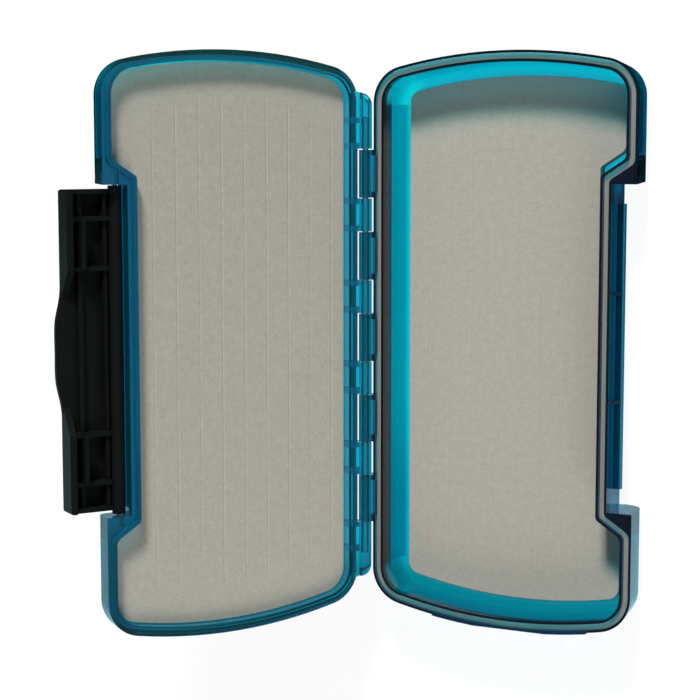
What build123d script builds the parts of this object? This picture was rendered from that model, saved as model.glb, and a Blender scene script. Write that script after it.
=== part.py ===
from build123d import *
import math
import os

# Fly box: a clear two-part case with a pinned hinge, a seal and one long latch.
# Both halves are drawn as if the box were shut. U runs from the hinge axis to
# the latch side, V along the box, and H up from the plane where the rims meet.
# place() then sets the base flat on its back and swings the lid open.

# Pose shown
open_angle = 124.6

# Plan of the rim, measured from the hinge axis
hinge_edge = 3.2
latch_edge = 102.0
rim_length = 206.0
end_radius = 187.0
end_crown = 56.8
corner_radius = 13.0

# Depths and walls
base_depth = 21.0
lid_depth = 10.5
base_floor = 2.5
lid_floor = 1.8
base_draft = 6.0
lid_draft = 3.0
inner_draft = 2.0
base_back_round = 8.0
lid_back_round = 3.5
base_floor_round = 2.5
rim_gap = 0.1

# Straight band behind the base's hinge
spine_draft = 1.5
spine_round = 2.5
spine_half = 84.5

# Seal
outer_lip = 0.9
groove_width = 2.2
inner_lip = 0.9
lid_rim = 3.6
groove_depth = 3.0
gasket_recess = 1.4
tongue_width = 1.2
tongue_clearance = 0.1

# Recess for the latch, the same in both halves
notch_step = 9.1
notch_half = 57.0
notch_draft = 3.0
shoulder_draft = 2.0
base_notch_round = 4.0
lid_notch_round = 1.0
sweep_angle = 33.0
sweep_shift = 0.7
sweep_inner_round = 2.0
sweep_outer_round = 3.0

# Catch rail on the base
rail_depth = 8.5
rail_thick = 2.1
rail_reach = 2.7
rail_half = 50.0
rail_root = 1.0
rail_rib_at = 19.0
rail_rib_thick = 1.2
rail_rib_drop = 4.0
rail_rib_land = 0.4

# Foam pads
foam_clearance = 0.2
adhesive = 0.2
base_foam_recess = 13.6
base_foam_margin = 8.5
lid_foam_recess = 3.2
slit_pitch = 8.75
slit_width = 0.2
slit_deep = 2.4
corner_slit_short = 2.0
lid_slit_count = 9
lid_slit_first = 12.3
lid_slit_margin = 13.0
base_slit_count = 8
base_slit_first = 18.6
base_slit_margin = 8.1

# Hinge
barrel_radius = 2.35
pin_radius = 1.0
pin_clearance = 0.05
knuckle_base = 17.6
knuckle_lid = 12.2
knuckle_gap = 0.4
ear_end = 89.3
ear_round = 7.5
ear_root = 3.1
ear_gusset_at = 78.8
pin_half = 80.0
pin_chamfer = 0.3
gusset_thick = 2.0
gusset_drop = 7.2
gusset_nose = 1.2
gusset_tuck = 0.5
knuckle_root = 1.0
base_knuckles = 5

# Latch
latch_side_gap = 1.6
pivot_side_gap = 0.4
pivot_depth = 4.9
pivot_in = 6.3
pivot_barrel = 2.3
pivot_pin_radius = 0.9
pivot_pin_bite = 4.0
pivot_pin_sunk = 10.0
pivot_pin_end = 0.3
latch_flush = 0.3
plate_thick = 2.0
latch_thick = 8.0
hook_wall = 2.4
hook_full = 28.0
hook_foot = 19.0
hook_clearance = 0.2
tab_half = 23.0
tab_reach = 2.2
tab_flat = 11.0
tab_sag = 0.25
heel_clearance = 0.3
end_wall = 1.4
rib_thick = 1.6
rib_rows = (28.5, 45.5)
rib_above_rail = 0.6
step_low = 2.0
ridge_from = 1.0
ridge_thick = 1.3
ridge_back = 0.7
latch_corner = 1.0
latch_edge_round = 0.5
crest_round = 1.2

# Raised pad on one end of the base
pad_from = 27.0
pad_to = 86.0
pad_proud = 0.5
pad_height = 6.0
pad_root = 0.5

# How far a cutter runs past what it cuts, and how near counts as the same place
overshoot = 1.0
match = 0.01
far = 300.0

rim_width = outer_lip + groove_width + inner_lip
notch_edge = latch_edge - notch_step
base_middle = (hinge_edge + latch_edge) / 2
pivot_u = latch_edge - pivot_in
pivot_h = rim_gap + pivot_depth
latch_half = notch_half - latch_side_gap
barrel_half = notch_half - pivot_side_gap
rail_low = -rail_depth - rail_thick
rail_face = notch_edge - math.tan(math.radians(notch_draft)) * rail_depth + rail_reach


def outline(inset):
    """Plan of the box, drawn in from the rim's outer edge."""
    wide = latch_edge - hinge_edge - 2 * inset
    off = end_radius - rim_length / 2
    shape = Pos(base_middle, 0) * Rectangle(wide, rim_length)
    shape = shape & (Pos(end_crown, -off) * Circle(end_radius - inset))
    shape = shape & (Pos(end_crown, off) * Circle(end_radius - inset))
    return fillet(shape.vertices(), corner_radius - inset)


def sealed_outline(inset):
    """The same plan, swept inwards past the latch recess."""
    slope = math.radians(sweep_angle)
    inner = notch_edge - inset
    start = notch_half + sweep_shift - inset * math.tan(slope) + inset / math.cos(slope)
    run = latch_edge + notch_step - inner
    finish = start + run * math.tan(slope)
    corners = [
        (inner, -start),
        (inner + run, -finish),
        (inner + run, finish),
        (inner, start),
    ]
    shape = outline(inset) - make_face(Polyline(*corners, close=True))
    inside = [v for v in shape.vertices() if abs(v.X - inner) < match]
    shape = fillet(inside, sweep_inner_round)
    outside = [
        v
        for v in shape.vertices()
        if abs(v.X - (latch_edge - inset)) < match and abs(v.Y) < finish
    ]
    outside = sorted(outside, key=lambda v: abs(v.Y))[:2]
    return fillet(outside, sweep_outer_round)


def block(u0, u1, v0, v1, h0, h1):
    """A plain block between two corners."""
    size = Box(u1 - u0, v1 - v0, h1 - h0)
    return Pos((u0 + u1) / 2, (v0 + v1) / 2, (h0 + h1) / 2) * size


def along_v(points, v0, v1):
    """A profile in the U-H plane, drawn out along the box."""
    face = make_face(Polyline(*points, close=True))
    plane = Plane(origin=(0, v0, 0), x_dir=(1, 0, 0), z_dir=(0, -1, 0))
    return extrude(plane * face, amount=-(v1 - v0))


def rod(u, h, radius, v0, v1):
    """A round bar along the box."""
    bar = Cylinder(radius, v1 - v0)
    return Pos(u, (v0 + v1) / 2, h) * Rot(90, 0, 0) * bar


def drafted(plan, inset, high, low, draft):
    """A plan drawn down from one height to another, with its walls leaning in."""
    lean = (high - low) * math.tan(math.radians(draft))
    return loft([Pos(0, 0, high) * plan(inset), Pos(0, 0, low) * plan(inset + lean)], ruled=True)


def rounded_body(depth, draft, back_round):
    """Outside of a half, rim at H = 0, with the edges of its back rounded."""
    body = drafted(outline, 0, 0, -depth, draft)
    back = body.faces().sort_by(Axis.Z)[0]
    return fillet(back.edges(), back_round)


def hollow(rim, low, floor_round=0):
    """Inside of a half, swept in past the latch recess."""
    space = drafted(sealed_outline, rim, 0, low, inner_draft)
    if floor_round == 0:
        return space
    floor = space.faces().sort_by(Axis.Z)[0]
    return fillet(floor.edges(), floor_round)


def spine():
    """Upright band along the base's hinge side, with a tighter back edge."""
    lean = math.tan(math.radians(spine_draft)) * base_depth
    root = hinge_edge + base_back_round * 2
    corners = [(hinge_edge, 0), (root, 0), (root, -base_depth), (hinge_edge + lean, -base_depth)]
    band = along_v(corners, -spine_half, spine_half)
    heel = band.edges().filter_by(Axis.Y).sort_by(lambda e: e.center().X + e.center().Z)[0]
    return fillet(heel, spine_round)


def notch_cutter(depth, rounding):
    """Space for the latch: a leaning wall with a rounded back edge, between leaning shoulders."""
    lean = math.tan(math.radians(notch_draft))
    start = notch_edge - lean * (depth - rounding)
    high = overshoot
    low = -depth - overshoot
    with BuildPart() as recess:
        with BuildSketch(Plane.XZ.offset(-far)):
            with BuildLine():
                Polyline((far, low), (far, high), (notch_edge + lean * high, high), (start, rounding - depth))
                arc = TangentArc((start, rounding - depth), (start - rounding, -depth), tangent=(0, -1))
                Polyline(arc @ 1, (start - rounding, low), (far, low))
            make_face()
        extrude(amount=2 * far)
    spread = math.tan(math.radians(shoulder_draft))
    narrow = notch_half - spread * high
    wide = notch_half - spread * low
    corners = [(-narrow, high), (narrow, high), (wide, low), (-wide, low)]
    shoulders = extrude(Plane.YZ * make_face(Polyline(*corners, close=True)), amount=far)
    return recess.part & shoulders


def knuckle(v0, v1, top=0, away=None):
    """One hinge knuckle and its two gussets, carried by a half that lies below H = 0."""
    root = hinge_edge + knuckle_root
    body = rod(0, 0, barrel_radius, v0, v1)
    body += block(0, root, v0, v1, -barrel_radius, top)
    high = gusset_tuck - barrel_radius
    low = -barrel_radius - gusset_drop
    corners = [(-gusset_nose, high), (root, high), (root, low), (hinge_edge, low)]
    for start in (v0, away or v1 - gusset_thick):
        body += along_v(corners, start, start + gusset_thick)
    return body


def make_ear():
    """Long end knuckle of the lid, rounded off in plan where it runs into the corner."""
    near = knuckle_bounds()[0][-1][1] + knuckle_gap / 2
    ear = knuckle(near, ear_end, -rim_gap, ear_gusset_at - gusset_thick / 2)
    root = hinge_edge + ear_root
    ear += block(0, root, near, ear_end, -barrel_radius, -rim_gap)
    plan = Rectangle(root + barrel_radius, ear_end - near)
    plan = Pos((root - barrel_radius) / 2, (near + ear_end) / 2) * plan
    corner = plan.vertices().sort_by(lambda v: v.Y - v.X)[-1]
    plan = fillet(corner, ear_round)
    return ear & Pos(0, 0, -far / 2) * extrude(plan, amount=far)


def knuckle_bounds():
    """Ends of the base's knuckles and of the lid's short ones, along the hinge."""
    pitch = knuckle_base + knuckle_lid
    first = -(base_knuckles - 1) / 2 * pitch
    base = []
    lid = []
    for index in range(base_knuckles):
        middle = first + index * pitch
        base.append((middle - knuckle_base / 2, middle + knuckle_base / 2))
        if index < base_knuckles - 1:
            start = middle + knuckle_base / 2
            lid.append((start, start + knuckle_lid))
    return base, lid


def trim(bounds):
    """Knuckle ends drawn in by half the running gap."""
    return bounds[0] + knuckle_gap / 2, bounds[1] - knuckle_gap / 2


def make_gasket():
    """Flat rubber ring, seated on the bottom of its groove."""
    ring = sealed_outline(outer_lip) - sealed_outline(outer_lip + groove_width)
    seat = Pos(0, 0, -groove_depth) * ring
    return extrude(seat, amount=groove_depth - gasket_recess)


def make_groove():
    """Groove in the base's rim that holds the gasket."""
    ring = sealed_outline(outer_lip) - sealed_outline(outer_lip + groove_width)
    return extrude(ring, amount=-groove_depth)


def make_rail():
    """Rail that the latch hooks under, in three bays between ribs."""
    lean = math.tan(math.radians(notch_draft))
    wall = notch_edge - lean * rail_depth
    root = wall - rail_root
    rail = block(root, rail_face, -rail_half, rail_half, rail_low, -rail_depth)
    for at in (-rail_rib_at, rail_rib_at):
        corners = [
            (root, -rail_depth + rail_rib_drop),
            (wall + rail_rib_land, -rail_depth + rail_rib_drop),
            (rail_face - rail_rib_land, -rail_depth),
            (root, -rail_depth),
        ]
        rail += along_v(corners, at - rail_rib_thick / 2, at + rail_rib_thick / 2)
    return rail


def make_end_pad():
    """Shallow pad, proud of the lower end wall."""
    band = outline(-pad_proud) - outline(pad_root)
    window = Pos((pad_from + pad_to) / 2, -rim_length / 2) * Rectangle(pad_to - pad_from, rim_length / 2)
    return extrude(band & window, amount=-pad_height)


def make_base_shell():
    """Deep half: tray, gasket groove, catch rail and five knuckles."""
    shell = rounded_body(base_depth, base_draft, base_back_round) + spine()
    shell -= hollow(rim_width, base_floor - base_depth, base_floor_round)
    shell -= notch_cutter(base_depth, base_notch_round)
    shell += make_end_pad()
    shell += make_rail()
    for bounds in knuckle_bounds()[0]:
        v0, v1 = trim(bounds)
        shell += knuckle(v0, v1)
        shell -= rod(0, 0, pin_radius + pin_clearance, v0 - overshoot, v1 + overshoot)
    return shell - make_groove()


def make_lid_shell():
    """Shallow half, drawn mouth up and then turned over to shut on the base."""
    shell = rounded_body(lid_depth, lid_draft, lid_back_round)
    shell -= hollow(lid_rim, lid_floor - lid_depth)
    shell -= notch_cutter(lid_depth, lid_notch_round)
    centre = outer_lip + groove_width / 2
    tongue = sealed_outline(centre - tongue_width / 2) - sealed_outline(centre + tongue_width / 2)
    tall = gasket_recess + rim_gap - tongue_clearance
    shell += extrude(tongue, amount=tall)
    shell = Pos(0, 0, -rim_gap) * shell
    for bounds in knuckle_bounds()[1]:
        v0, v1 = trim(bounds)
        shell += knuckle(v0, v1, -rim_gap)
    ear = make_ear()
    shell += ear + mirror(ear, about=Plane.XZ)
    shell -= rod(0, 0, pin_radius + pin_clearance, -rim_length / 2, pin_half)
    for side in (-1, 1):
        v0 = min(side * (notch_half - overshoot), side * (notch_half + pivot_pin_bite))
        v1 = v0 + pivot_pin_bite + overshoot
        shell -= rod(pivot_u, -pivot_h, pivot_pin_radius + pin_clearance, v0, v1)
    return Rot(180, 0, 0) * shell


def make_hinge_pin():
    """Steel wire pin through every knuckle."""
    pin = rod(0, 0, pin_radius, -pin_half, pin_half)
    return chamfer(pin.edges().filter_by(GeomType.CIRCLE), pin_chamfer)


def foam_slits(first, count, margin, top):
    """Parallel cuts down into a pad that grip the hooks, ending short of the box's bowed ends."""
    cuts = None
    for index in range(count):
        u = first + index * slit_pitch
        rise = math.sqrt(end_radius**2 - (u - end_crown) ** 2) - end_radius
        half = rim_length / 2 + rise - margin
        if u < hinge_edge + lid_rim + corner_radius:
            half -= corner_slit_short
        cut = block(u - slit_width / 2, u + slit_width / 2, -half, half, top - slit_deep, top + slit_deep)
        cuts = cut if cuts is None else cuts + cut
    return cuts


def make_lid_foam():
    """Thick slit pad that fills the lid from wall to wall."""
    lean = math.tan(math.radians(inner_draft))
    inset = lid_rim + foam_clearance + lean * lid_foam_recess
    top = -rim_gap - lid_foam_recess
    bottom = -rim_gap - (lid_depth - lid_floor - adhesive)
    pad = drafted(sealed_outline, inset, top, bottom, inner_draft)
    pad -= foam_slits(lid_slit_first, lid_slit_count, lid_rim + lid_slit_margin, top)
    return Rot(180, 0, 0) * pad


def sheet(inset, low, thick):
    """A flat film with the plan of a pad."""
    return extrude(Pos(0, 0, low) * sealed_outline(inset), amount=thick)


def make_lid_adhesive():
    """Adhesive film under the lid's pad."""
    lean = math.tan(math.radians(inner_draft))
    inset = lid_rim + foam_clearance * 2 + lean * (lid_depth - lid_floor)
    low = -rim_gap - (lid_depth - lid_floor)
    return Rot(180, 0, 0) * sheet(inset, low, adhesive)


def make_base_adhesive():
    """Adhesive film under the base's pad."""
    return sheet(base_foam_margin, base_floor - base_depth, adhesive)


def make_base_foam():
    """Thin pad on the floor of the base, clear of its walls."""
    low = base_floor + adhesive - base_depth
    top = -base_foam_recess
    pad = sheet(base_foam_margin, low, top - low)
    return pad - foam_slits(base_slit_first, base_slit_count, base_foam_margin + base_slit_margin, top)


def make_latch():
    """Lever, drawn shut: it hangs from the lid's pivot down over the base's rail."""
    outer = latch_edge - latch_flush
    inner = outer - latch_thick
    hook_top = rail_low - hook_clearance
    low = hook_top - hook_wall
    lean = math.tan(math.radians(notch_draft))
    stop = notch_edge - lean * (pivot_depth + outer - plate_thick - pivot_u)
    high = pivot_h + pivot_u - stop - heel_clearance
    lever = block(outer - plate_thick, outer, -latch_half, latch_half, low, high)
    lever += make_tab(outer, low)
    for side in (-1, 1):
        lever += make_hook(side, inner, outer, low)
        lever += make_end(side, inner, outer, hook_top)
    lever += rod(pivot_u, pivot_h, pivot_barrel, -barrel_half, barrel_half)
    lever += block(pivot_u, outer, -latch_half, latch_half, pivot_h - rib_thick / 2, pivot_h + pivot_barrel)
    lever += make_ribs(inner, outer, hook_top)
    for side in (-1, 1):
        v0 = min(side * (latch_half - pivot_pin_sunk), side * (notch_half + overshoot))
        v1 = v0 + pivot_pin_sunk + latch_side_gap + overshoot
        lever -= rod(pivot_u, pivot_h, pivot_pin_radius, v0, v1)
    return soften(lever, outer, low)


def make_tab(outer, low):
    """Finger tab: the plate's edge swells past the hook walls in a smooth curve."""
    mid = low - tab_reach
    high = low + overshoot
    with BuildPart() as tab:
        with BuildSketch(Plane.YZ.offset(outer - plate_thick)):
            with BuildLine():
                Line((-tab_half, high), (-tab_half, low))
                Spline(
                    (-tab_half, low),
                    (-tab_flat, mid + tab_sag),
                    (0, mid),
                    (tab_flat, mid + tab_sag),
                    (tab_half, low),
                    tangents=((1, 0), (1, 0)),
                )
                Line((tab_half, low), (tab_half, high))
                Line((tab_half, high), (-tab_half, high))
            make_face()
        extrude(amount=plate_thick)
    return tab.part


def make_hook(side, inner, outer, low):
    """Hook wall that snaps under the rail, sloping down to the plate beside the tab."""
    corners = [
        (inner, side * latch_half),
        (inner, side * hook_full),
        (outer - plate_thick, side * hook_foot),
        (outer, side * hook_foot),
        (outer, side * latch_half),
    ]
    return extrude(Pos(0, 0, low) * make_face(Polyline(*corners, close=True)), amount=hook_wall)


def make_end(side, inner, outer, hook_top):
    """Closed end of the lever, cut back where it passes the catch rail."""
    clear = rail_face + hook_clearance
    corners = [
        (inner, hook_top - hook_wall),
        (inner, hook_top),
        (clear, hook_top),
        (clear, pivot_h - pivot_barrel),
        (outer, pivot_h - pivot_barrel),
        (outer, hook_top - hook_wall),
    ]
    v0 = min(side * latch_half, side * (latch_half - end_wall))
    return along_v(corners, v0, v0 + end_wall)


def make_ribs(inner, outer, hook_top):
    """Cross ribs, the tall ribs above the rail, the step between them and the ridge by the pivot."""
    clear = rail_face + 2 * hook_clearance
    near, away = rib_rows
    low = -rail_depth + rib_above_rail
    high = low + rib_thick
    ribs = block(clear + step_low, outer, -latch_half, latch_half, low, high)
    ribs += block(pivot_u + ridge_back, outer, -latch_half, latch_half, ridge_from, ridge_from + ridge_thick)
    for side in (-1, 1):
        v0 = min(side * near, side * away)
        ribs += block(inner, outer, v0, v0 + away - near, low, high)
        for row in rib_rows:
            middle = side * row
            ribs += block(clear, outer, middle - rib_thick / 2, middle + rib_thick / 2, hook_top, pivot_h)
    return ribs


def soften(lever, outer, low):
    """Rounded lower corners and crest, and a small round along the plate's outer edges."""
    corners = [
        e
        for e in lever.edges().filter_by(Axis.X)
        if abs(abs(e.center().Y) - latch_half) < match and abs(e.center().Z - low) < match
    ]
    lever = fillet(corners, latch_corner)
    crest = [e for e in lever.edges().filter_by(Axis.Y) if abs(e.center().X - outer) < match]
    lever = fillet(max(crest, key=lambda e: e.center().Z), crest_round)
    rim = [e for e in lever.edges() if abs(e.bounding_box().min.X - outer) < match]
    return fillet(rim, latch_edge_round)


def make_latch_pins():
    """Two short steel pins, fixed in the lever and turning in the lid's shoulders."""
    reach = notch_half + pivot_pin_bite - pivot_pin_end
    start = latch_half - pivot_pin_sunk
    right = rod(pivot_u, pivot_h, pivot_pin_radius, start, reach)
    left = rod(pivot_u, pivot_h, pivot_pin_radius, -reach, -start)
    return Compound(children=[right, left])


def place(piece, swing=False, latch=False):
    """Take a piece from the shut drawing to the open pose on the table."""
    if latch:
        piece = Pos(pivot_u, 0, pivot_h) * Rot(0, -90, 0) * Pos(-pivot_u, 0, -pivot_h) * piece
    if swing:
        piece = Rot(0, -open_angle, 0) * piece
    return Pos(-base_middle, 0, base_depth) * piece


os.makedirs("parts", exist_ok=True)

nodes = {
    "base_shell": place(make_base_shell()),
    "gasket": place(make_gasket()),
    "base_foam": place(make_base_foam()),
    "base_foam_adhesive": place(make_base_adhesive()),
    "hinge_pin": place(make_hinge_pin()),
    "lid_shell": place(make_lid_shell(), swing=True),
    "lid_foam": place(make_lid_foam(), swing=True),
    "lid_foam_adhesive": place(make_lid_adhesive(), swing=True),
    "latch_lever": place(make_latch(), swing=True, latch=True),
    "latch_pins": place(make_latch_pins(), swing=True, latch=True),
}

for name, piece in nodes.items():
    export_step(piece, "parts/" + name + ".step")
    print(name, "solids", len(piece.solids()), "volume", round(piece.volume / 1000, 2), "cm3")
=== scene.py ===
import math

import bmesh
import bpy
from mathutils import Matrix, Vector


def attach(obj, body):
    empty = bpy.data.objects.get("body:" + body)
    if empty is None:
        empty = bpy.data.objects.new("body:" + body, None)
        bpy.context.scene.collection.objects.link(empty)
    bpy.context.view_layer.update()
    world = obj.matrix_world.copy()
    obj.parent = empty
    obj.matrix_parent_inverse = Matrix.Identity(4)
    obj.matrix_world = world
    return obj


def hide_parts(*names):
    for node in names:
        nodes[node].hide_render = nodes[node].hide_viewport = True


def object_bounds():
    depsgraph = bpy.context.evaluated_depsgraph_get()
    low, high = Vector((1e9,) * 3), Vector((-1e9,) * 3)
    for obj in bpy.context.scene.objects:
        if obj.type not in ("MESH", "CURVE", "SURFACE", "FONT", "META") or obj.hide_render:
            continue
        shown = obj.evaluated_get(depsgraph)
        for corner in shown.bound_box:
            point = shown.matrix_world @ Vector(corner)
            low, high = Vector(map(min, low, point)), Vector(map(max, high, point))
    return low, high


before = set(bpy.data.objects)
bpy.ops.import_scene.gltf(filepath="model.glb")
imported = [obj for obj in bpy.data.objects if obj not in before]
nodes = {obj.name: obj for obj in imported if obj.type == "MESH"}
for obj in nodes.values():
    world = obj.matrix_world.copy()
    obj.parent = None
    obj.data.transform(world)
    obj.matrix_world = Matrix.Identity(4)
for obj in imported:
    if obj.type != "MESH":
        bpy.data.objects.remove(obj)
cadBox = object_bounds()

millimetre = 0.001
print("frame loaded,", len(nodes), "nodes")


def newMaterial(name):
    material = bpy.data.materials.new(name)
    material.use_nodes = True
    material.node_tree.nodes.clear()
    return material, material.node_tree


def addNode(tree, kind, place, **settings):
    node = tree.nodes.new(kind)
    node.location = place
    for key, value in settings.items():
        setattr(node, key, value)
    return node


def setInputs(node, values):
    for key, value in values.items():
        node.inputs[key].default_value = value


def feed(tree, socket, value):
    # another node's output is linked, a number is set
    if isinstance(value, bpy.types.NodeSocket):
        tree.links.new(value, socket)
    else:
        socket.default_value = value


def maths(tree, operation, first, second, place, clamp=False):
    node = addNode(tree, "ShaderNodeMath", place, operation=operation, use_clamp=clamp)
    feed(tree, node.inputs[0], first)
    feed(tree, node.inputs[1], second)
    return node.outputs[0]


def fade(tree, value, start, end, place, low=0.0, high=1.0):
    # low up to the start, high from the end on
    node = addNode(tree, "ShaderNodeMapRange", place)
    feed(tree, node.inputs["Value"], value)
    feed(tree, node.inputs["From Min"], start)
    feed(tree, node.inputs["From Max"], end)
    setInputs(node, {"To Min": low, "To Max": high})
    return node.outputs["Result"]


def mixColours(tree, share, under, over, place):
    node = addNode(tree, "ShaderNodeMix", place, data_type="RGBA")
    feed(tree, node.inputs[0], share)
    feed(tree, node.inputs[6], under)
    feed(tree, node.inputs[7], over)
    return node.outputs[2]


def objectAxes(tree, place):
    # where a point lies on its piece, in metres
    coordinates = addNode(tree, "ShaderNodeTexCoord", place)
    axes = addNode(tree, "ShaderNodeSeparateXYZ", (place[0] + 200, place[1]))
    tree.links.new(coordinates.outputs["Object"], axes.inputs["Vector"])
    return axes.outputs


def rgb(red, green, blue):
    # 0 to 255 as seen on screen, to the linear colour that a shader takes
    parts = []
    for part in (red, green, blue):
        share = part / 255
        parts.append(share / 12.92 if share <= 0.04045 else ((share + 0.055) / 1.055) ** 2.4)
    return (*parts, 1.0)


def newGroup(name, inputs, outputs):
    tree = bpy.data.node_groups.new(name, "ShaderNodeTree")
    for label, kind, value in inputs:
        socket = tree.interface.new_socket(label, in_out="INPUT", socket_type=kind)
        socket.default_value = value
    for label, kind in outputs:
        tree.interface.new_socket(label, in_out="OUTPUT", socket_type=kind)
    start = addNode(tree, "NodeGroupInput", (-900, 0))
    end = addNode(tree, "NodeGroupOutput", (700, 0))
    return tree, start, end


def placeGroup(tree, group, place, values):
    node = addNode(tree, "ShaderNodeGroup", place, node_tree=group)
    setInputs(node, values)
    return node


grainForm = {
    "Grain": {"Detail": 3.0, "Roughness": 0.6},
    "Cloud": {"Detail": 2.0, "Roughness": 0.5},
    "middle": 0.5,
}


def makeGrain(form):
    # fine grain with slow clouds: a height for bump and a tint around 1
    tree, start, end = newGroup(
        "surfaceGrain",
        [
            ("Grains per metre", "NodeSocketFloat", 2500.0),
            ("Clouds per metre", "NodeSocketFloat", 60.0),
            ("Grain tint", "NodeSocketFloat", 0.1),
            ("Cloud tint", "NodeSocketFloat", 0.05),
        ],
        [("Height", "NodeSocketFloat"), ("Tint", "NodeSocketFloat")],
    )
    place = addNode(tree, "ShaderNodeTexCoord", (-900, 300))
    textures = {}
    tint = 1.0
    for name, row in (("Grain", 200), ("Cloud", -200)):
        texture = addNode(tree, "ShaderNodeTexNoise", (-600, row))
        setInputs(texture, form[name])
        tree.links.new(place.outputs["Object"], texture.inputs["Vector"])
        tree.links.new(start.outputs[name + "s per metre"], texture.inputs["Scale"])
        centred = maths(tree, "SUBTRACT", texture.outputs["Fac"], form["middle"], (-350, row))
        scaled = maths(tree, "MULTIPLY", centred, start.outputs[name + " tint"], (-150, row))
        tint = maths(tree, "ADD", scaled, tint, (100, row))
        textures[name] = texture
    tree.links.new(textures["Grain"].outputs["Fac"], end.inputs["Height"])
    tree.links.new(tint, end.inputs["Tint"])
    return tree


def makeTinted():
    # a colour times a tint
    tree, start, end = newGroup(
        "tintedColour",
        [("Colour", "NodeSocketColor", (1, 1, 1, 1)), ("Tint", "NodeSocketFloat", 1.0)],
        [("Colour", "NodeSocketColor")],
    )
    scale = addNode(tree, "ShaderNodeVectorMath", (0, 0), operation="SCALE")
    tree.links.new(start.outputs["Colour"], scale.inputs[0])
    tree.links.new(start.outputs["Tint"], scale.inputs["Scale"])
    tree.links.new(scale.outputs["Vector"], end.inputs["Colour"])
    return tree


patchForm = {
    "limits": {"X rise": "X", "X fall": "X", "Y fade": "Y", "Z fade": "Z", "Aside fade": "Aside"},
    "noLimit": (-2.0, -1.0),
}


def makePatch(form):
    # a colour laid over another one, within limits along the piece's axes, in metres; it lays
    # painted light and shade on the clear shells
    inputs = [(label, "NodeSocketColor", (1, 1, 1, 1)) for label in ("Under", "Patch")]
    for label in form["limits"]:
        for side, value in zip((" starts", " ends"), form["noLimit"]):
            inputs.append((label + side, "NodeSocketFloat", value))
    tree, start, end = newGroup("paintedLightPatch", inputs, [("Colour", "NodeSocketColor")])
    axes = objectAxes(tree, (-900, 400))
    measures = {axis: axes[axis] for axis in "XYZ"}
    measures["Aside"] = maths(tree, "ABSOLUTE", axes["Y"], 0.0, (-500, 500))
    share = 1.0
    for count, (label, axis) in enumerate(form["limits"].items()):
        starts, stops = start.outputs[label + " starts"], start.outputs[label + " ends"]
        limit = fade(tree, measures[axis], starts, stops, (-300, -200 * count))
        share = maths(tree, "MULTIPLY", limit, share, (-100, -200 * count))
    mixed = mixColours(tree, share, start.outputs["Under"], start.outputs["Patch"], (400, 0))
    tree.links.new(mixed, end.inputs["Colour"])
    return tree


surfaceGrain = makeGrain(grainForm)
tintedColour = makeTinted()
paintedLightPatch = makePatch(patchForm)
print("effect groups made")


def addBump(tree, shader, height, look):
    bump = addNode(tree, "ShaderNodeBump", (0, -200))
    setInputs(bump, {"Strength": look["bump"], "Distance": look["relief"]})
    tree.links.new(height, bump.inputs["Height"])
    tree.links.new(bump.outputs["Normal"], shader.inputs["Normal"])


def grainyShader(tree, look, colour):
    # a plain shader with grain in its colour and its relief
    shader = addNode(tree, "ShaderNodeBsdfPrincipled", (300, 0))
    setInputs(shader, look["shader"])
    grain = placeGroup(tree, surfaceGrain, (-500, 0), look["grain"])
    tinted = placeGroup(tree, tintedColour, (-200, 200), {})
    feed(tree, tinted.inputs["Colour"], colour)
    tree.links.new(grain.outputs["Tint"], tinted.inputs["Tint"])
    tree.links.new(tinted.outputs["Colour"], shader.inputs["Base Color"])
    addBump(tree, shader, grain.outputs["Height"], look)
    return shader


def grainyMaterial(name, look):
    material, tree = newMaterial(name)
    out = addNode(tree, "ShaderNodeOutputMaterial", (600, 0))
    shader = grainyShader(tree, look, look["colour"])
    tree.links.new(shader.outputs["BSDF"], out.inputs["Surface"])
    return material


def grainOf(grains, clouds, grainTint, cloudTint):
    return {
        "Grains per metre": grains,
        "Clouds per metre": clouds,
        "Grain tint": grainTint,
        "Cloud tint": cloudTint,
    }


foamLook = {
    "colour": rgb(177, 173, 161),
    "shader": {"Roughness": 0.95, "Specular IOR Level": 0.2, "Sheen Weight": 0.15},
    "grain": grainOf(1500.0, 420.0, 0.45, 0.2),
    "bump": 0.6,
    "relief": 0.12 * millimetre,
}

rubberLook = {
    "colour": rgb(140, 138, 132),
    "shader": {"Roughness": 0.6, "Specular IOR Level": 0.35},
    "grain": grainOf(1800.0, 90.0, 0.1, 0.06),
    "bump": 0.3,
    "relief": 0.05 * millimetre,
}

latchLook = {
    "colour": rgb(15, 19, 17),
    "shader": {"Roughness": 0.48, "Specular IOR Level": 0.14},
    "grain": grainOf(3500.0, 70.0, 0.25, 0.3),
    "bump": 0.25,
    "relief": 0.04 * millimetre,
}

filmLook = {
    "colour": rgb(180, 180, 168),
    "shader": {"Roughness": 0.5, "Specular IOR Level": 0.4},
    "grain": grainOf(900.0, 60.0, 0.06, 0.08),
    "bump": 0.2,
    "relief": 0.03 * millimetre,
}

steelLook = {
    "colour": rgb(190, 192, 192),
    "shader": {"Roughness": 0.28, "Metallic": 1.0},
    "grain": grainOf(2400.0, 200.0, 0.12, 0.08),
    "bump": 0.1,
    "relief": 0.02 * millimetre,
}

plasticLook = {
    "tint": (0.03, 0.78, 0.90, 1.0),
    "shader": {"Roughness": 0.03, "IOR": 1.49, "Transmission Weight": 0.95},
    "grain": grainOf(260.0, 25.0, 0.03, 0.03),
    "bump": 0.06,
    "relief": 0.06 * millimetre,
    "absorbed": (0.0, 0.82, 0.873, 1.0),
    "density": 1300.0,
}
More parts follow.
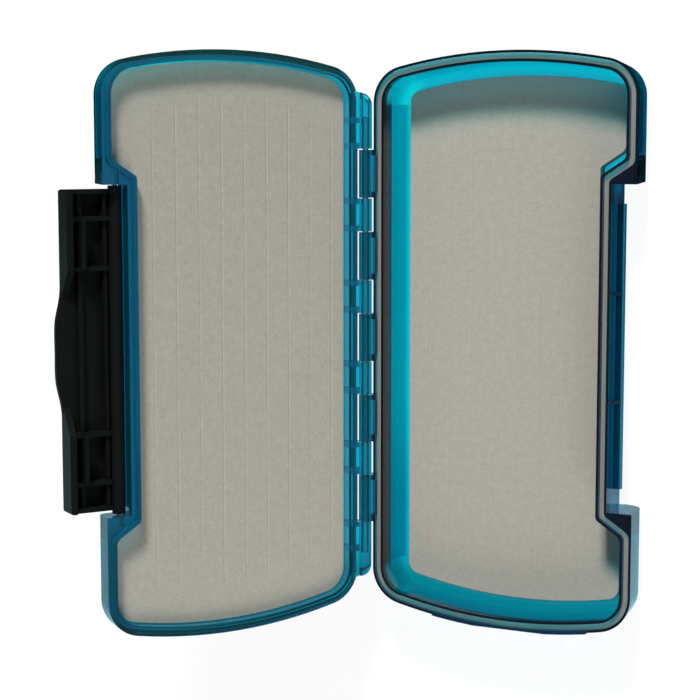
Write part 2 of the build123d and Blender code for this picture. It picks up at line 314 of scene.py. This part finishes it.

# painted light and shade on the base's clear shell, in metres: a paler hinge wall with painted
# shade on its lower part, painted shade on the recess, its wall, the knuckles and the rim, and a
# painted dark band on the hinge wall's upper part
basePaintedLight = [
    {
        "Patch": (0.03, 1.0, 1.0, 1.0),
        "X fall starts": -0.036,
        "X fall ends": -0.042,
    },
    {
        "Patch": (0.02, 0.72, 0.80, 1.0),
        "X fall starts": -0.036,
        "X fall ends": -0.042,
        "Y fade starts": -0.025,
        "Y fade ends": -0.060,
    },
    {
        "Patch": (0.02, 0.45, 0.58, 1.0),
        "X rise starts": 0.033,
        "X rise ends": 0.036,
        "Aside fade starts": 0.055,
        "Aside fade ends": 0.050,
    },
    {
        "Patch": (0.0, 0.2, 0.32, 1.0),
        "X rise starts": 0.033,
        "X rise ends": 0.036,
        "X fall starts": 0.0425,
        "X fall ends": 0.0415,
        "Aside fade starts": 0.055,
        "Aside fade ends": 0.050,
    },
    {
        "Patch": (0.02, 0.45, 0.55, 1.0),
        "X fall starts": -0.0495,
        "X fall ends": -0.0498,
    },
    {
        "Patch": (0.0, 0.07, 0.16, 1.0),
        "X rise starts": -0.0498,
        "X rise ends": -0.0495,
        "Z fade starts": 0.0170,
        "Z fade ends": 0.0204,
    },
    {
        "Patch": (0.0, 0.006, 0.012, 1.0),
        "X rise starts": -0.0480,
        "X rise ends": -0.0470,
        "X fall starts": -0.036,
        "X fall ends": -0.042,
        "Aside fade starts": 0.088,
        "Aside fade ends": 0.084,
        "Z fade starts": 0.0140,
        "Z fade ends": 0.0150,
    },
]

# painted light: the lid's upper end is paler
lidPaintedLight = [{"Patch": (0.03, 1.0, 1.0, 1.0), "Y fade starts": 0.088, "Y fade ends": 0.094}]

# light that gets by a shell; the base's thin lips beside the seal cord let more through
baseShadow = {
    "walls": (0.36, 0.15, 0.13, 1.0),
    "lips": (0.85, 0.9, 0.9, 1.0),
    "lipsStart": 0.0191,
    "lipsEnd": 0.0195,
}
lidShadow = {"walls": (0.38, 0.27, 0.25, 1.0)}


def makePlastic(name, look, paintedPatches, shadow):
    # clear blue moulded plastic: colour comes from the depth of material that light crosses,
    # and from painted light and shade laid over its tint
    material, tree = newMaterial(name)
    out = addNode(tree, "ShaderNodeOutputMaterial", (900, 0))
    tint = look["tint"]
    # painted light and shade, laid over the tint one patch after another
    for count, values in enumerate(paintedPatches):
        patch = placeGroup(tree, paintedLightPatch, (-2200 + 200 * count, 400), values)
        feed(tree, patch.inputs["Under"], tint)
        tint = patch.outputs["Colour"]
    shader = grainyShader(tree, look, tint)
    clear = addNode(tree, "ShaderNodeBsdfTransparent", (300, -300))
    passed = shadow["walls"]
    if "lips" in shadow:
        height = objectAxes(tree, (-600, -500))["Z"]
        share = fade(tree, height, shadow["lipsStart"], shadow["lipsEnd"], (-200, -500))
        passed = mixColours(tree, share, passed, shadow["lips"], (0, -500))
    feed(tree, clear.inputs["Color"], passed)
    ray = addNode(tree, "ShaderNodeLightPath", (300, 500))
    mix = addNode(tree, "ShaderNodeMixShader", (600, 0))
    tree.links.new(ray.outputs["Is Shadow Ray"], mix.inputs["Fac"])
    tree.links.new(shader.outputs["BSDF"], mix.inputs[1])
    tree.links.new(clear.outputs["BSDF"], mix.inputs[2])
    tree.links.new(mix.outputs["Shader"], out.inputs["Surface"])
    inside = addNode(tree, "ShaderNodeVolumeAbsorption", (600, -300))
    setInputs(inside, {"Color": look["absorbed"], "Density": look["density"]})
    tree.links.new(inside.outputs["Volume"], out.inputs["Volume"])
    return material


foam = grainyMaterial("greyFoam", foamLook)
rubber = grainyMaterial("sealRubber", rubberLook)
latchBlack = grainyMaterial("latchBlack", latchLook)
film = grainyMaterial("adhesiveFilm", filmLook)
steel = grainyMaterial("pinSteel", steelLook)
baseBlue = makePlastic("clearBlueBase", plasticLook, basePaintedLight, baseShadow)
lidBlue = makePlastic("clearBlueLid", plasticLook, lidPaintedLight, lidShadow)
print("materials made")

finishes = {
    "base_shell": baseBlue,
    "lid_shell": lidBlue,
    "hinge_pin": steel,
    "latch_pins": steel,
    "latch_lever": latchBlack,
}
for name, material in finishes.items():
    for slot in nodes[name].material_slots:
        slot.material = material
print("packed nodes dressed")

outlineForm = {"mergeWithin": 0.01 * millimetre, "flatWithin": math.radians(1)}


def cleanOutline(form):
    bpy.ops.mesh.select_all(action="SELECT")
    bpy.ops.mesh.remove_doubles(threshold=form["mergeWithin"])
    bpy.ops.mesh.dissolve_limited(angle_limit=form["flatWithin"])


def startPiece(name, node):
    # a welded copy of the node's own outline, open for editing
    bpy.ops.object.select_all(action="DESELECT")
    source = nodes[node]
    piece = source.copy()
    piece.data = source.data.copy()
    piece.name = name
    piece.data.name = name
    piece.parent = None
    for key in list(piece.keys()):
        if key.startswith("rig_"):
            del piece[key]
    bpy.context.scene.collection.objects.link(piece)
    piece.select_set(True)
    bpy.context.view_layer.objects.active = piece
    bpy.ops.object.mode_set(mode="EDIT")
    cleanOutline(outlineForm)
    return piece


def endPiece(piece, node, body, material, form):
    # a hair of size up or down, so that no face lies in the plane of the clear plastic
    bpy.ops.mesh.select_all(action="SELECT")
    bpy.ops.transform.shrink_fatten(value=form["grow"])
    bpy.ops.object.mode_set(mode="OBJECT")
    bpy.ops.mesh.customdata_custom_splitnormals_clear()
    bpy.ops.object.shade_smooth_by_angle(angle=form["smooth"])
    for held in piece.material_slots:
        held.material = material
    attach(piece, body)
    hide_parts(node)


filmForm = {"grow": 0.02 * millimetre, "smooth": math.radians(3)}


def makeFilm(name, node, body, form):
    # bonded to the shell, so its face sinks into the plastic by a hair
    piece = startPiece(name, node)
    endPiece(piece, node, body, film, form)


cordForm = {
    "grow": -0.03 * millimetre,
    "edge": 0.3 * millimetre,
    "steps": 3,
    "smooth": math.radians(40),
}


def makeCord(form):
    # rubber ring with its upper edges rounded
    piece = startPiece("seal_cord", "gasket")
    bpy.ops.mesh.select_mode(type="EDGE")
    mesh = bmesh.from_edit_mesh(piece.data)
    top = max(corner.co.z for corner in mesh.verts)
    for edge in mesh.edges:
        level = min(corner.co.z for corner in edge.verts)
        edge.select = level > top - form["edge"] and edge.calc_face_angle(0) > form["smooth"]
    bmesh.update_edit_mesh(piece.data)
    bpy.ops.mesh.bevel(offset=form["edge"], segments=form["steps"], affect="EDGES")
    endPiece(piece, "gasket", "base", rubber, form)


makeFilm("base_film", "base_foam_adhesive", "base", filmForm)
makeFilm("lid_film", "lid_foam_adhesive", "lid", filmForm)
makeCord(cordForm)
print("films and seal cord made")

padForm = {
    "edge": 0.3 * millimetre,
    "steps": 3,
    "sharp": math.radians(35),
    "smooth": math.radians(3),
    "grow": -0.03 * millimetre,
    "valleyHalf": 0.42 * millimetre,
    "valleyFade": 1.5 * millimetre,
    "unevenness": 0.35,
    "rhythm": 2.3,  # turns the slits' unevenness from one to the next
    "facesUp": 0.3,  # least upward share of a normal on the pad's upper side
    "sameWay": 0.99,  # least likeness of two normals that count as one
    "slitLeast": 0.5 * millimetre,  # a face deeper than this is a slit's bottom
    "near": 0.1,  # share of a valley's half width that counts as on its line
}


def widestFace(mesh, form):
    # the pad's wide upper face, by its normal and its level along that
    upper = [face for face in mesh.faces if face.normal.z > form["facesUp"]]
    top = max(upper, key=lambda face: face.calc_area())
    normal = top.normal.copy()
    return normal, normal.dot(top.verts[0].co)


def closeSlits(pad, form):
    # the pad's knife cuts, noted by place and then closed up flush
    bpy.ops.mesh.select_mode(type="FACE")
    mesh = bmesh.from_edit_mesh(pad.data)
    normal, level = widestFace(mesh, form)
    across = Vector((0, 1, 0)).cross(normal)
    slits = []
    drop = 0
    for face in mesh.faces:
        below = level - normal.dot(face.verts[0].co)
        face.select = face.normal.dot(normal) > form["sameWay"] and below > form["slitLeast"]
        if face.select:
            drop = below
            ends = [corner.co.y for corner in face.verts]
            slits.append((across.dot(face.calc_center_median()), min(ends), max(ends)))
    bmesh.update_edit_mesh(pad.data)
    bpy.ops.transform.translate(value=normal * drop)
    cleanOutline(outlineForm)
    return slits, normal, across, level


def roundRim(pad, form):
    # soft edge all round, as die-cut foam has
    bpy.ops.mesh.select_mode(type="EDGE")
    mesh = bmesh.from_edit_mesh(pad.data)
    for edge in mesh.edges:
        edge.select = edge.calc_face_angle(0) > form["sharp"]
    bmesh.update_edit_mesh(pad.data)
    bpy.ops.mesh.bevel(offset=form["edge"], segments=form["steps"], affect="EDGES")


def pressValleys(pad, found, deepest, form):
    # foam closes over a knife cut, so only a faint valley is left where each one runs
    slits, normal, across, level = found
    half = form["valleyHalf"]
    fadeOut = form["valleyFade"]
    near = form["near"] * half
    for count, (at, low, high) in enumerate(slits):
        for offset in (-half, 0, half):
            bpy.ops.mesh.select_all(action="SELECT")
            onLine = across * (at + offset) + normal * level
            bpy.ops.mesh.bisect(plane_co=onLine, plane_no=across)
        bpy.ops.mesh.select_mode(type="FACE")
        for end in (low, low + fadeOut, high - fadeOut, high):
            mesh = bmesh.from_edit_mesh(pad.data)
            for face in mesh.faces:
                away = abs(across.dot(face.calc_center_median()) - at)
                face.select = away < half and face.normal.dot(normal) > form["sameWay"]
            bmesh.update_edit_mesh(pad.data)
            bpy.ops.mesh.bisect(plane_co=(0, end, 0), plane_no=(0, 1, 0))
        bpy.ops.mesh.select_mode(type="VERT")
        mesh = bmesh.from_edit_mesh(pad.data)
        for corner in mesh.verts:
            onLine = abs(across.dot(corner.co) - at) < near
            onTop = abs(normal.dot(corner.co) - level) < near
            inside = low + fadeOut / 2 < corner.co.y < high - fadeOut / 2
            corner.select = onLine and onTop and inside
        mesh.select_flush_mode()
        bmesh.update_edit_mesh(pad.data)
        depth = deepest * (1 + form["unevenness"] * math.sin(form["rhythm"] * count))
        bpy.ops.transform.translate(value=-normal * depth)


def makePad(name, node, body, deepest, form):
    pad = startPiece(name, node)
    found = closeSlits(pad, form)
    roundRim(pad, form)
    pressValleys(pad, found, deepest, form)
    endPiece(pad, node, body, foam, form)
    print(name, "has", len(found[0]), "slits")


makePad("base_foam_pad", "base_foam", "base", 0.05 * millimetre, padForm)
makePad("lid_foam_pad", "lid_foam", "lid", 0.13 * millimetre, padForm)
print("foam pads made")

floorForm = {
    "half": 3.0,
    "colour": rgb(101, 101, 101),
    "glow": 0.92,
    "paintedReflection": (0.5, 0.86, 1.0, 1.0),  # painted reflection, seen only in gloss: dark above, pale from below on
    "darkFrom": 0.06,
    "paleFrom": -0.1,
    "pale": 0.95,
    "table": 0.5,  # painted shade seen through glass: darker below, where a table's edge would be
    "tableFrom": -0.082,
    "tableTo": -0.092,
}
skyForm = {"light": 0.09, "gloss": 0.1}


def whiteForLooking(tree, place, gloss, clear):
    # 1 for rays that show the background to the eye, clear through glass, gloss off a shine
    ray = addNode(tree, "ShaderNodeLightPath", place)
    right, low = place[0] + 200, place[1] - 200
    shine = maths(tree, "MULTIPLY", ray.outputs["Is Glossy Ray"], gloss, (right, low))
    through = maths(tree, "MULTIPLY", ray.outputs["Is Transmission Ray"], clear, (right, place[1]))
    seen = maths(tree, "MAXIMUM", ray.outputs["Is Camera Ray"], shine, (right + 150, low))
    return maths(tree, "MAXIMUM", seen, through, (right + 150, place[1]))


def makeFloor(form):
    bpy.ops.object.select_all(action="DESELECT")
    bpy.ops.mesh.primitive_plane_add(size=2 * form["half"], location=(0, 0, cadBox[0].z))
    floor = bpy.context.object
    floor.name = "studio_floor"
    material, tree = newMaterial("studioFloor")
    out = addNode(tree, "ShaderNodeOutputMaterial", (900, 0))
    matt = addNode(tree, "ShaderNodeBsdfDiffuse", (200, 0))
    setInputs(matt, {"Color": form["colour"]})
    along = objectAxes(tree, (-1200, -700))["Y"]
    # painted shade seen through glass: the floor's glow is darker below
    ends = form["tableFrom"], form["tableTo"]
    table = fade(tree, along, *ends, (-800, -300), 1.0, form["table"])
    white = whiteForLooking(tree, (-600, -300), 0.0, table)
    glow = addNode(tree, "ShaderNodeEmission", (200, -200))
    setInputs(glow, {"Color": (1, 1, 1, 1)})
    strength = maths(tree, "MULTIPLY", white, form["glow"], (0, -300))
    tree.links.new(strength, glow.inputs["Strength"])
    both = addNode(tree, "ShaderNodeAddShader", (450, 0))
    tree.links.new(matt.outputs["BSDF"], both.inputs[0])
    tree.links.new(glow.outputs["Emission"], both.inputs[1])
    # painted reflection: a glow that only glossy rays see, dark above and pale from below on
    ends = form["darkFrom"], form["paleFrom"]
    paintedReflection = addNode(tree, "ShaderNodeEmission", (200, -500))
    setInputs(paintedReflection, {"Color": form["paintedReflection"]})
    rise = fade(tree, along, *ends, (-200, -700), 0.0, form["pale"])
    tree.links.new(rise, paintedReflection.inputs["Strength"])
    # a ray through glass counts as gloss too, so that is taken off
    ray = addNode(tree, "ShaderNodeLightPath", (200, 400)).outputs
    glossy, through = ray["Is Glossy Ray"], ray["Is Transmission Ray"]
    onlyGloss = maths(tree, "SUBTRACT", glossy, through, (400, 400), clamp=True)
    pick = addNode(tree, "ShaderNodeMixShader", (700, 0))
    tree.links.new(onlyGloss, pick.inputs["Fac"])
    tree.links.new(both.outputs["Shader"], pick.inputs[1])
    tree.links.new(paintedReflection.outputs["Emission"], pick.inputs[2])
    tree.links.new(pick.outputs["Shader"], out.inputs["Surface"])
    floor.data.materials.append(material)


def makeSky(form):
    world = bpy.data.worlds.new("studioSky")
    bpy.context.scene.world = world
    world.use_nodes = True
    tree = world.node_tree
    tree.nodes.clear()
    out = addNode(tree, "ShaderNodeOutputWorld", (600, 0))
    sky = addNode(tree, "ShaderNodeBackground", (300, 0))
    setInputs(sky, {"Color": (1, 1, 1, 1)})
    white = whiteForLooking(tree, (-600, 0), form["gloss"], 1.0)
    strength = fade(tree, white, 0.0, 1.0, (0, 0), form["light"], 1.0)
    tree.links.new(strength, sky.inputs["Strength"])
    tree.links.new(sky.outputs["Background"], out.inputs["Surface"])


lamps = {
    "key_light": {"at": (0.24, 3.3, 2.26), "size": 0.66, "power": 190.0, "gloss": True},
    "fill_light": {"at": (0.46, -0.8, 0.36), "size": 0.6, "power": 5.2, "gloss": False},
}
lampTarget = Vector((-0.04, 0, 0.03))


def makeLamp(name, form):
    lamp = bpy.data.lights.new(name, "AREA")
    lamp.shape = "SQUARE"
    lamp.size = form["size"]
    lamp.energy = form["power"]
    holder = bpy.data.objects.new(name, lamp)
    bpy.context.scene.collection.objects.link(holder)
    place = Vector(form["at"])
    turn = (lampTarget - place).to_track_quat("-Z", "Y")
    holder.matrix_world = Matrix.Translation(place) @ turn.to_matrix().to_4x4()
    holder.visible_transmission = False
    holder.visible_glossy = form["gloss"]
    holder.visible_camera = False


cameraForm = {
    "at": Vector((0.24236, 0.07532, 0.64055)),
    "looking": Vector((-0.434292, -0.115813, -0.893296)),
    "photoUp": Vector((0, 1, 0)),
    "lens": 97.02,
    "sensor": 36.0,
    "near": 0.01,
    "far": 20.0,
}


def makeCamera(form):
    data = bpy.data.cameras.new("photo_camera")
    data.lens = form["lens"]
    data.sensor_width = form["sensor"]
    data.clip_start = form["near"]
    data.clip_end = form["far"]
    holder = bpy.data.objects.new("photo_camera", data)
    bpy.context.scene.collection.objects.link(holder)
    ahead = form["looking"].normalized()
    right = ahead.cross(form["photoUp"]).normalized()
    up = right.cross(ahead)
    turn = Matrix((right, up, -ahead)).transposed().to_4x4()
    holder.matrix_world = Matrix.Translation(form["at"]) @ turn
    bpy.context.scene.camera = holder


makeFloor(floorForm)
makeSky(skyForm)
for name, form in lamps.items():
    makeLamp(name, form)
makeCamera(cameraForm)
bpy.context.scene.view_settings.view_transform = "Standard"
print("floor, light and camera made")
